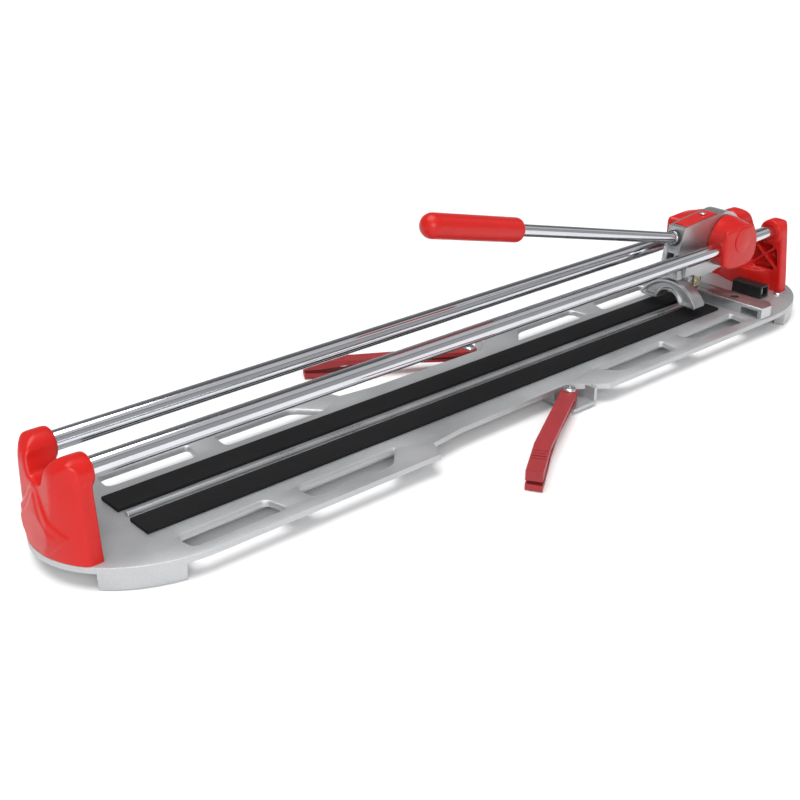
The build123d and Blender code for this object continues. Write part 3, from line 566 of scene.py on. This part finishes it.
# %% End supports
OUTER_SHIELD = [
    (0, 67), (4, 66), (8, 60), (12.2, 53.8), (17, 49), (22, 45), (28, 41), (33.2, 38.1), (24, 29),
    (13, 18.7), (0, 18.7),
]
INNER_SHIELD = [
    (0, 62), (3, 57.6), (6, 51), (10, 46), (15, 42), (19.5, 39), (24, 36.5), (16, 28),
    (8.7, 18.7), (0, 18.7),
]
FOOT_ALLOWANCE = 3.5
LIP_START, LIP_END = 391.2, 404
LIP_RADIUS, LIP_RIM = 12.4, 1.2
OUTER_PROUD, INNER_PROUD = 0.7, 1.6
SKIN_VOXEL = 0.9
SHIELD_SMOOTHING = 4
for node, end, smoothing in (("end_support_right", 1, 12), ("end_support_left", -1, 24)):
    lump = merged_copy(node)
    bmesh.ops.translate(lump, verts=lump.verts, vec=(-SPAN_CENTRE, 0, 0))
    if end < 0:
        bmesh.ops.scale(lump, verts=lump.verts, vec=(-1, 1, 1))
        bmesh.ops.reverse_faces(lump, faces=lump.faces)
    for vert in lump.verts:
        if vert.co.z < DECK_TOP + 0.05:
            vert.co.z -= FOOT_ALLOWANCE
    for y in (-RAIL_Y, RAIL_Y):
        bar(lump, (LIP_START, y, RAIL_Z), (LIP_END, y, RAIL_Z), LIP_RADIUS, LIP_RIM, 64)
    bmesh.ops.recalc_face_normals(lump, faces=lump.faces)
    bmesh.ops.triangulate(lump, faces=lump.faces)
    soft = melted(lump, SKIN_VOXEL, smoothing)
    shield(soft, OUTER_SHIELD, OUTER_PROUD)
    shield(soft, INNER_SHIELD, INNER_PROUD)
    soft = melted(soft, SKIN_VOXEL, SHIELD_SMOOTHING)
    bmesh.ops.bisect_plane(
        soft, geom=soft.verts[:] + soft.edges[:] + soft.faces[:], plane_co=(0, 0, DECK_TOP),
        plane_no=(0, 0, -1), clear_outer=True,
    )
    bmesh.ops.triangle_fill(
        soft, use_beauty=True, edges=[e for e in soft.edges if e.is_boundary], normal=(0, 0, -1)
    )
    if end < 0:
        bmesh.ops.scale(soft, verts=soft.verts, vec=(-1, 1, 1))
    bmesh.ops.translate(soft, verts=soft.verts, vec=(SPAN_CENTRE, 0, 0))
    finish(soft, node.replace("end_support", "red_support"), RED, "frame", [node], smooth=60)

# %% [markdown]
# A cheek is the red moulding that slides on a rail. Next to the lever it is round, like the barrel it
# covers, and outside it has a squared nose, a flat top and a round back. The two outlines have the same
# number of points, so a bridge between them makes the side, and the corners are softened last. A plain
# round boss marks the pivot.

# %% Carriage cheeks
HINGE = Vector((326.0, 0, 82.0))
BARREL_RADIUS = 25.8
OUTLINE = [
    (294.6, 66), (294.0, 84), (294.4, 99), (297.5, 102), (312, 102.4), (326, 102.3), (337, 101),
    (344, 96), (348, 89), (349.4, 80), (348, 70), (343, 63), (334, 59.5), (318, 59), (303, 60.5),
]
CHEEK_POINTS = 60
CHEEK_RINGS = [(0, 0.0), (7, 0.1), (17, 0.72)]
CHEEK_EDGE = 3.2
BOSS_X, BOSS_Z = 322, 88
BOSS_RADIUS, BOSS_RIM = 12, 0.5
BOSS_ROOM = 1.0
BOSS_HEIGHT = 0.95


def spaced(points, count):
    """The same outline with a chosen number of evenly spread points."""
    loop = points + points[:1]
    steps = [(Vector(b) - Vector(a)).length for a, b in zip(loop, loop[1:])]
    result = []
    for index in range(count):
        left = sum(steps) * index / count
        leg = 0
        while left > steps[leg]:
            left -= steps[leg]
            leg += 1
        result.append(Vector(loop[leg]).lerp(Vector(loop[leg + 1]), left / steps[leg]))
    return result


for node, side in (("cheek_front", -1), ("cheek_rear", 1)):
    low, high = corners(node)
    inner_y = side * min(abs(low.y), abs(high.y))
    outer_y = side * (max(abs(low.y), abs(high.y)) - BOSS_ROOM)
    outer = spaced(OUTLINE, CHEEK_POINTS)
    turns = [atan2(point.y - HINGE.z, point.x - HINGE.x) for point in outer]
    rings = [(inner_y + side * depth, blend) for depth, blend in CHEEK_RINGS] + [(outer_y, 1.0)]
    cheek = bmesh.new()
    loops = []
    for y, blend in rings:
        ring = []
        for point, turn in zip(outer, turns):
            barrel = Vector((HINGE.x + BARREL_RADIUS * cos(turn), HINGE.z + BARREL_RADIUS * sin(turn)))
            mixed_point = barrel.lerp(point, blend)
            ring.append(cheek.verts.new((mixed_point.x, y, mixed_point.y)))
        loops.append([cheek.edges.new((a, b)) for a, b in zip(ring, ring[1:] + ring[:1])])
    for first, second in zip(loops, loops[1:]):
        bmesh.ops.bridge_loops(cheek, edges=first + second)
    bmesh.ops.holes_fill(cheek, edges=loops[0] + loops[-1], sides=0)
    round_edges(cheek, loops[-1], CHEEK_EDGE, 4)
    boss_start = (BOSS_X, outer_y - side * BOSS_ROOM, BOSS_Z)
    boss_end = (BOSS_X, outer_y + side * BOSS_HEIGHT, BOSS_Z)
    bar(cheek, boss_start, boss_end, BOSS_RADIUS, BOSS_RIM, 64)
    finish(cheek, node.replace("cheek", "carriage_cheek"), RED, "carriage", [node], smooth=40)

# %% [markdown]
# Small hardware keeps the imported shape, because a screw or a bush is already right. A clean copy of
# each gets rounded edges, since a sharp edge never catches the light the way a real one does. The
# left-hand bush of each cheek sits a little further in, where the cheek hides it.

# %% Small parts with rounded edges
BUSH_SHIFT = 6
SMALL = [
    ("anti_slip_pads", "floor_pads", RUBBER, "frame", "black_rubber", 0.3),
    ("support_bolts", "base_bolts", ZINC, "frame", "zinc_steel", 0.3),
    ("rail_grub_screws", "grub_screws", DARK_STEEL, "frame", "dark_steel", 0.1),
    ("fence_screws", "fence_bolts", DARK_STEEL, "frame", "dark_steel", 0.2),
    ("spare_axle_plate", "spare_plate", ZINC, "frame", "zinc_steel", 0.2),
    ("spare_scoring_wheel", "spare_wheel", CARBIDE, "frame", "carbide", 0.1),
    ("arm_washer_front", "washer_front", DARK_STEEL, "frame", "dark_steel", 0.2),
    ("arm_washer_rear", "washer_rear", DARK_STEEL, "frame", "dark_steel", 0.2),
    ("rail_bush_front_left", "bush_front_left", BRONZE, "carriage", "bronze", 0.2),
    ("rail_bush_front_right", "bush_front_right", BRONZE, "carriage", "bronze", 0.2),
    ("rail_bush_rear_left", "bush_rear_left", BRONZE, "carriage", "bronze", 0.2),
    ("rail_bush_rear_right", "bush_rear_right", BRONZE, "carriage", "bronze", 0.2),
    ("hinge_pin", "hinge_shaft", ZINC, "carriage", "zinc_steel", 0.2),
    ("lever_bush_front", "pivot_bush_front", BRONZE, "lever", "bronze", 0.2),
    ("lever_bush_rear", "pivot_bush_rear", BRONZE, "lever", "bronze", 0.2),
    ("wheel_holder", "wheel_fork", YELLOW, "lever", "yellow_plating", 0.35),
    ("wheel_axle", "wheel_pin", ZINC, "lever", "zinc_steel", 0.2),
    ("holder_clamp_screw", "clamp_screw", DARK_STEEL, "lever", "dark_steel", 0.2),
    ("foot_pin", "foot_hinge_pin", ZINC, "lever", "zinc_steel", 0.2),
]
for node, name, material, body, slot, rounding in SMALL:
    piece = merged_copy(node)
    if node.startswith("rail_bush") and node.endswith("left"):
        bmesh.ops.translate(piece, verts=piece.verts, vec=(BUSH_SHIFT, 0, 0))
    finish(piece, name, material, body, [node], round_mm=rounding)

# %% [markdown]
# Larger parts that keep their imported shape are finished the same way, among them the fence, the lever
# with its rod and grip, the side arms and the domed screws. A width of nought leaves a part that is
# already round as it is.

# %% Larger parts with rounded edges
LARGE = [
    ("fence_bar", "measuring_fence", BRIGHT_CAST, "frame", "cast_aluminium", 0.6),
    ("wheel_case", "spare_wheel_case", BLACK, "frame", "black_plastic", 0.6),
    ("lever_casting", "lever_head", BRIGHT_CAST, "lever", "cast_aluminium", 0.9),
    ("lever_inlay", "red_inlay", RED, "lever", "red_plastic", 0.6),
    ("scoring_wheel", "cutting_wheel", CARBIDE, "scoring_wheel", "carbide", 0.1),
    ("arm_front", "side_arm_front", ARM_RED, "arm_front", "red_coating", 0.5),
    ("arm_rear", "side_arm_rear", ARM_RED, "arm_rear", "red_coating", 0.5),
    ("handle_rod", "lever_rod", CHROME, "lever", "chrome_rail", 0.4),
    ("handle_grip", "lever_grip", RED, "lever", "red_plastic", 0.0),
    ("deck_screws", "dome_screws", ZINC, "frame", "zinc_steel", 0.0),
    ("inlay_screw", "inlay_dome_screw", ZINC, "lever", "zinc_steel", 0.0),
    ("arm_bolt_front", "arm_bolt_head_front", ZINC, "frame", "zinc_steel", 0.3),
    ("arm_bolt_rear", "arm_bolt_head_rear", ZINC, "frame", "zinc_steel", 0.3),
]
for node, name, material, body, slot, rounding in LARGE:
    finish(merged_copy(node), name, material, body, [node], round_mm=rounding)

# %% [markdown]
# The breaking foot is a cast arch with a thin web between two flanges, like a small girder. The web is a
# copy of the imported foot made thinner. The flanges are two small rectangles spun along the outer and
# inner arcs, and two blocks are the shoes. One soft skin joins them as one casting.

# %% Breaking foot
FLANGES = [(35.6, 38.6, 13.2, radians(61)), (13.7, 15.9, 27.3, radians(78))]
WEB_TOP = 53
WEB_MIDDLE = 5
WEB_SHARE = 0.62
SHOE_NEAR, SHOE_FAR, SHOE_THICK = 14.2, 33.0, 2.6
CASTING_VOXEL = 0.5


def arch(bm, radius_in, radius_out, half_angle, x_low, x_high):
    """A curved strip standing across the base, spun about a level line along X."""
    section = face_from(bm, [
        (x_low, 0, radius_in), (x_high, 0, radius_in), (x_high, 0, radius_out), (x_low, 0, radius_out)
    ])
    bmesh.ops.rotate(bm, verts=section.verts, cent=(0, 0, 0), matrix=Matrix.Rotation(-half_angle, 3, "X"))
    spun(bm, section, (1, 0, 0), 2 * half_angle, 36)


foot = merged_copy("breaker_foot")
low, high = corners("breaker_foot")
middle_x = (low.x + high.x) / 2
for vert in foot.verts:
    if vert.co.z < WEB_TOP and abs(vert.co.x - middle_x) > WEB_MIDDLE:
        vert.co.x = middle_x + (vert.co.x - middle_x) * WEB_SHARE
for radius_in, radius_out, centre_z, half_angle in FLANGES:
    strip = bmesh.new()
    arch(strip, radius_in, radius_out, half_angle, low.x, high.x)
    bmesh.ops.translate(strip, verts=strip.verts, vec=(0, 0, centre_z))
    join(foot, strip)
for side in (1, -1):
    block(foot, (low.x, high.x), sorted((side * SHOE_NEAR, side * SHOE_FAR)), (low.z, low.z + SHOE_THICK))
bmesh.ops.recalc_face_normals(foot, faces=foot.faces)
bmesh.ops.triangulate(foot, faces=foot.faces)
soft = melted(foot, CASTING_VOXEL, 6)
finish(soft, "breaking_foot", BRIGHT_CAST, "breaker", ["breaker_foot"], smooth=60)

# %% [markdown]
# Where the rod enters the lever head there is a dark seal with a thin bright ring inside it. Both are
# turned parts, so a small section is spun all the way round the rod's own direction.

# %% Seal and ring round the rod
COLLAR_LOW, COLLAR_HIGH = corners("socket_collar")
ROD_RADIUS = 5.5
LEVER_RISE = radians(13.6)
ALONG = Vector((-cos(LEVER_RISE), 0, sin(LEVER_RISE))).to_track_quat("Z", "Y").to_matrix()
RINGS = [
    ("rod_seal", BLACK, "black_plastic", 6.6, 7.6, 3.6, ["socket_collar"]),
    ("rod_ring", ZINC, "zinc_steel", ROD_RADIUS, 6.7, 4.0, []),
]
for name, material, slot, inside, outside, length, stands_for in RINGS:
    ring = bmesh.new()
    end = length / 2
    section = face_from(ring, [(inside, 0, -end), (outside, 0, -end), (outside, 0, end), (inside, 0, end)])
    spun(ring, section, (0, 0, 1), 2 * pi, 64, closed=True)
    leftover = [face for face in ring.faces if all(abs(vert.co.y) < 0.001 for vert in face.verts)]
    bmesh.ops.delete(ring, geom=leftover, context="FACES_ONLY")
    bmesh.ops.rotate(ring, verts=ring.verts, cent=(0, 0, 0), matrix=ALONG)
    bmesh.ops.translate(ring, verts=ring.verts, vec=(COLLAR_LOW + COLLAR_HIGH) / 2)
    finish(ring, name, material, "lever", stands_for, round_mm=0.35)

# %% [markdown]
# The fence is a ruler as well as a stop. Plain graduation marks, without figures, are thin bars let
# into its top edge.

# %% Graduation marks on the fence
fence_low, fence_high = corners("fence_bar")
MARK_SPACING = 5
MARK_LENGTHS = (5.0, 3.0)
MARK_INSET = 2.0
HALF_MARK = 0.22
MARK_DEPTH = 0.3
MARK_PROUD = 0.03
marks = bmesh.new()
for step in range(-13, 14):
    start_x = fence_low.x + MARK_INSET
    y = step * MARK_SPACING
    block(marks, (start_x, start_x + MARK_LENGTHS[step % 2]), (y - HALF_MARK, y + HALF_MARK),
          (fence_high.z - MARK_DEPTH, fence_high.z + MARK_PROUD))
finish(marks, "fence_marks", DARK_STEEL, "frame", [])

# %% [markdown]
# The set is a plain white floor that runs far back.

# %% Floor
floor_mesh = bmesh.new()
bmesh.ops.create_grid(floor_mesh, x_segments=1, y_segments=1, size=30)
mesh = bpy.data.meshes.new("floor")
floor_mesh.to_mesh(mesh)
floor_mesh.free()
floor = bpy.data.objects.new("floor", mesh)
bpy.context.scene.collection.objects.link(floor)
white = bpy.data.materials.new("white floor")
white.use_nodes = True
white.node_tree.nodes["Principled BSDF"].inputs["Base Color"].default_value = (0.92, 0.92, 0.92, 1)
white.node_tree.nodes["Principled BSDF"].inputs["Roughness"].default_value = 0.7
mesh.materials.append(white)
print("floor, metres:", [round(side, 1) for side in floor.dimensions])

# %% [markdown]
# Two lights are enough. A very wide sun overhead acts as a soft sky and makes pale, blurred shadows. A
# broad rectangle in front fills the near side, so that the red covers don't go dark below.

# %% Lights
def add_light(name, kind, energy, facing):
    """A light of a kind, turned to face a direction."""
    data = bpy.data.lights.new(name, kind)
    data.energy = energy
    light = bpy.data.objects.new(name, data)
    bpy.context.scene.collection.objects.link(light)
    light.rotation_mode = "QUATERNION"
    light.rotation_quaternion = facing.to_track_quat("-Z", "Y")
    return light


FILL_PLACE = Vector((-1.5, -2.2, 1.3))
FILL_AIM = Vector((0, 0, 0.05))
fill = add_light("front fill", "AREA", 42, FILL_AIM - FILL_PLACE)
fill.location = FILL_PLACE
fill.data.shape = "RECTANGLE"
fill.data.size, fill.data.size_y = 1.6, 1.2
sky = add_light("overhead sky", "SUN", 2.6, Vector((0.15, -0.1, -1)))
sky.data.angle = radians(50)
print("lights:", [light.name for light in bpy.data.lights])

# %% [markdown]
# Chrome shows whatever surrounds it. The surrounding white has a few darker bands along the rails'
# direction, so the rails get the long streaks that polished bars have. The camera itself sees plain
# white behind the object, not the bands.

# %% Surroundings
LEVELS = [
    (0.0, 0.5), (0.15, 0.5), (0.18, 0.3), (0.35, 0.2), (0.42, 0.05), (0.5, 0.85),
    (0.70, 0.9), (0.74, 0.25), (0.78, 0.6), (1.0, 0.6),
]
BACKDROP = 1.4
STRENGTH = 0.75


def pale(level):
    """A grey with a touch of blue."""
    return level, level, level * 1.01, 1


world = bpy.data.worlds.new("studio")
bpy.context.scene.world = world
world.use_nodes = True
nodes, links = world.node_tree.nodes, world.node_tree.links
where = nodes.new("ShaderNodeTexCoord")
split = nodes.new("ShaderNodeSeparateXYZ")
links.new(where.outputs["Generated"], split.inputs["Vector"])
turn = nodes.new("ShaderNodeMath")
turn.operation = "ARCTAN2"
links.new(split.outputs["Z"], turn.inputs[0])
links.new(split.outputs["Y"], turn.inputs[1])
share = nodes.new("ShaderNodeMath")
share.operation = "DIVIDE"
links.new(turn.outputs["Value"], share.inputs[0])
share.inputs[1].default_value = pi
bands = nodes.new("ShaderNodeValToRGB")
links.new(share.outputs["Value"], bands.inputs["Fac"])
stops = bands.color_ramp.elements
for place, level in LEVELS[1:-1]:
    stops.new(place).color = pale(level)
stops[0].color = pale(LEVELS[0][1])
stops[-1].color = pale(LEVELS[-1][1])
seen = nodes.new("ShaderNodeLightPath")
backdrop = nodes.new("ShaderNodeMix")
backdrop.data_type = "RGBA"
backdrop.inputs["B"].default_value = (BACKDROP, BACKDROP, BACKDROP, 1)
links.new(seen.outputs["Is Camera Ray"], backdrop.inputs["Factor"])
links.new(bands.outputs["Color"], backdrop.inputs["A"])
links.new(backdrop.outputs["Result"], nodes["Background"].inputs["Color"])
nodes["Background"].inputs["Strength"].default_value = STRENGTH
print("bands of grey:", len(stops))

# %% [markdown]
# The camera stands in front of the left end, higher than the rails, and looks down along the base
# towards the fence. The plain view transform keeps the colours as they are mixed.

# %% Camera
camera_data = bpy.data.cameras.new("camera")
camera_data.lens = 56.9
camera_data.sensor_width = 36.0
camera_data.clip_end = 100
camera = bpy.data.objects.new("camera", camera_data)
bpy.context.scene.collection.objects.link(camera)
camera.location = (-0.7277, -0.7170, 0.4751)
PITCH = radians(25.01)
ahead = Vector((0.6598 * cos(PITCH), 0.7514 * cos(PITCH), -sin(PITCH)))
camera.rotation_mode = "QUATERNION"
camera.rotation_quaternion = ahead.to_track_quat("-Z", "Y")
bpy.context.scene.camera = camera
bpy.context.scene.view_settings.view_transform = "Standard"
print("camera, metres:", [round(place, 3) for place in camera.location])
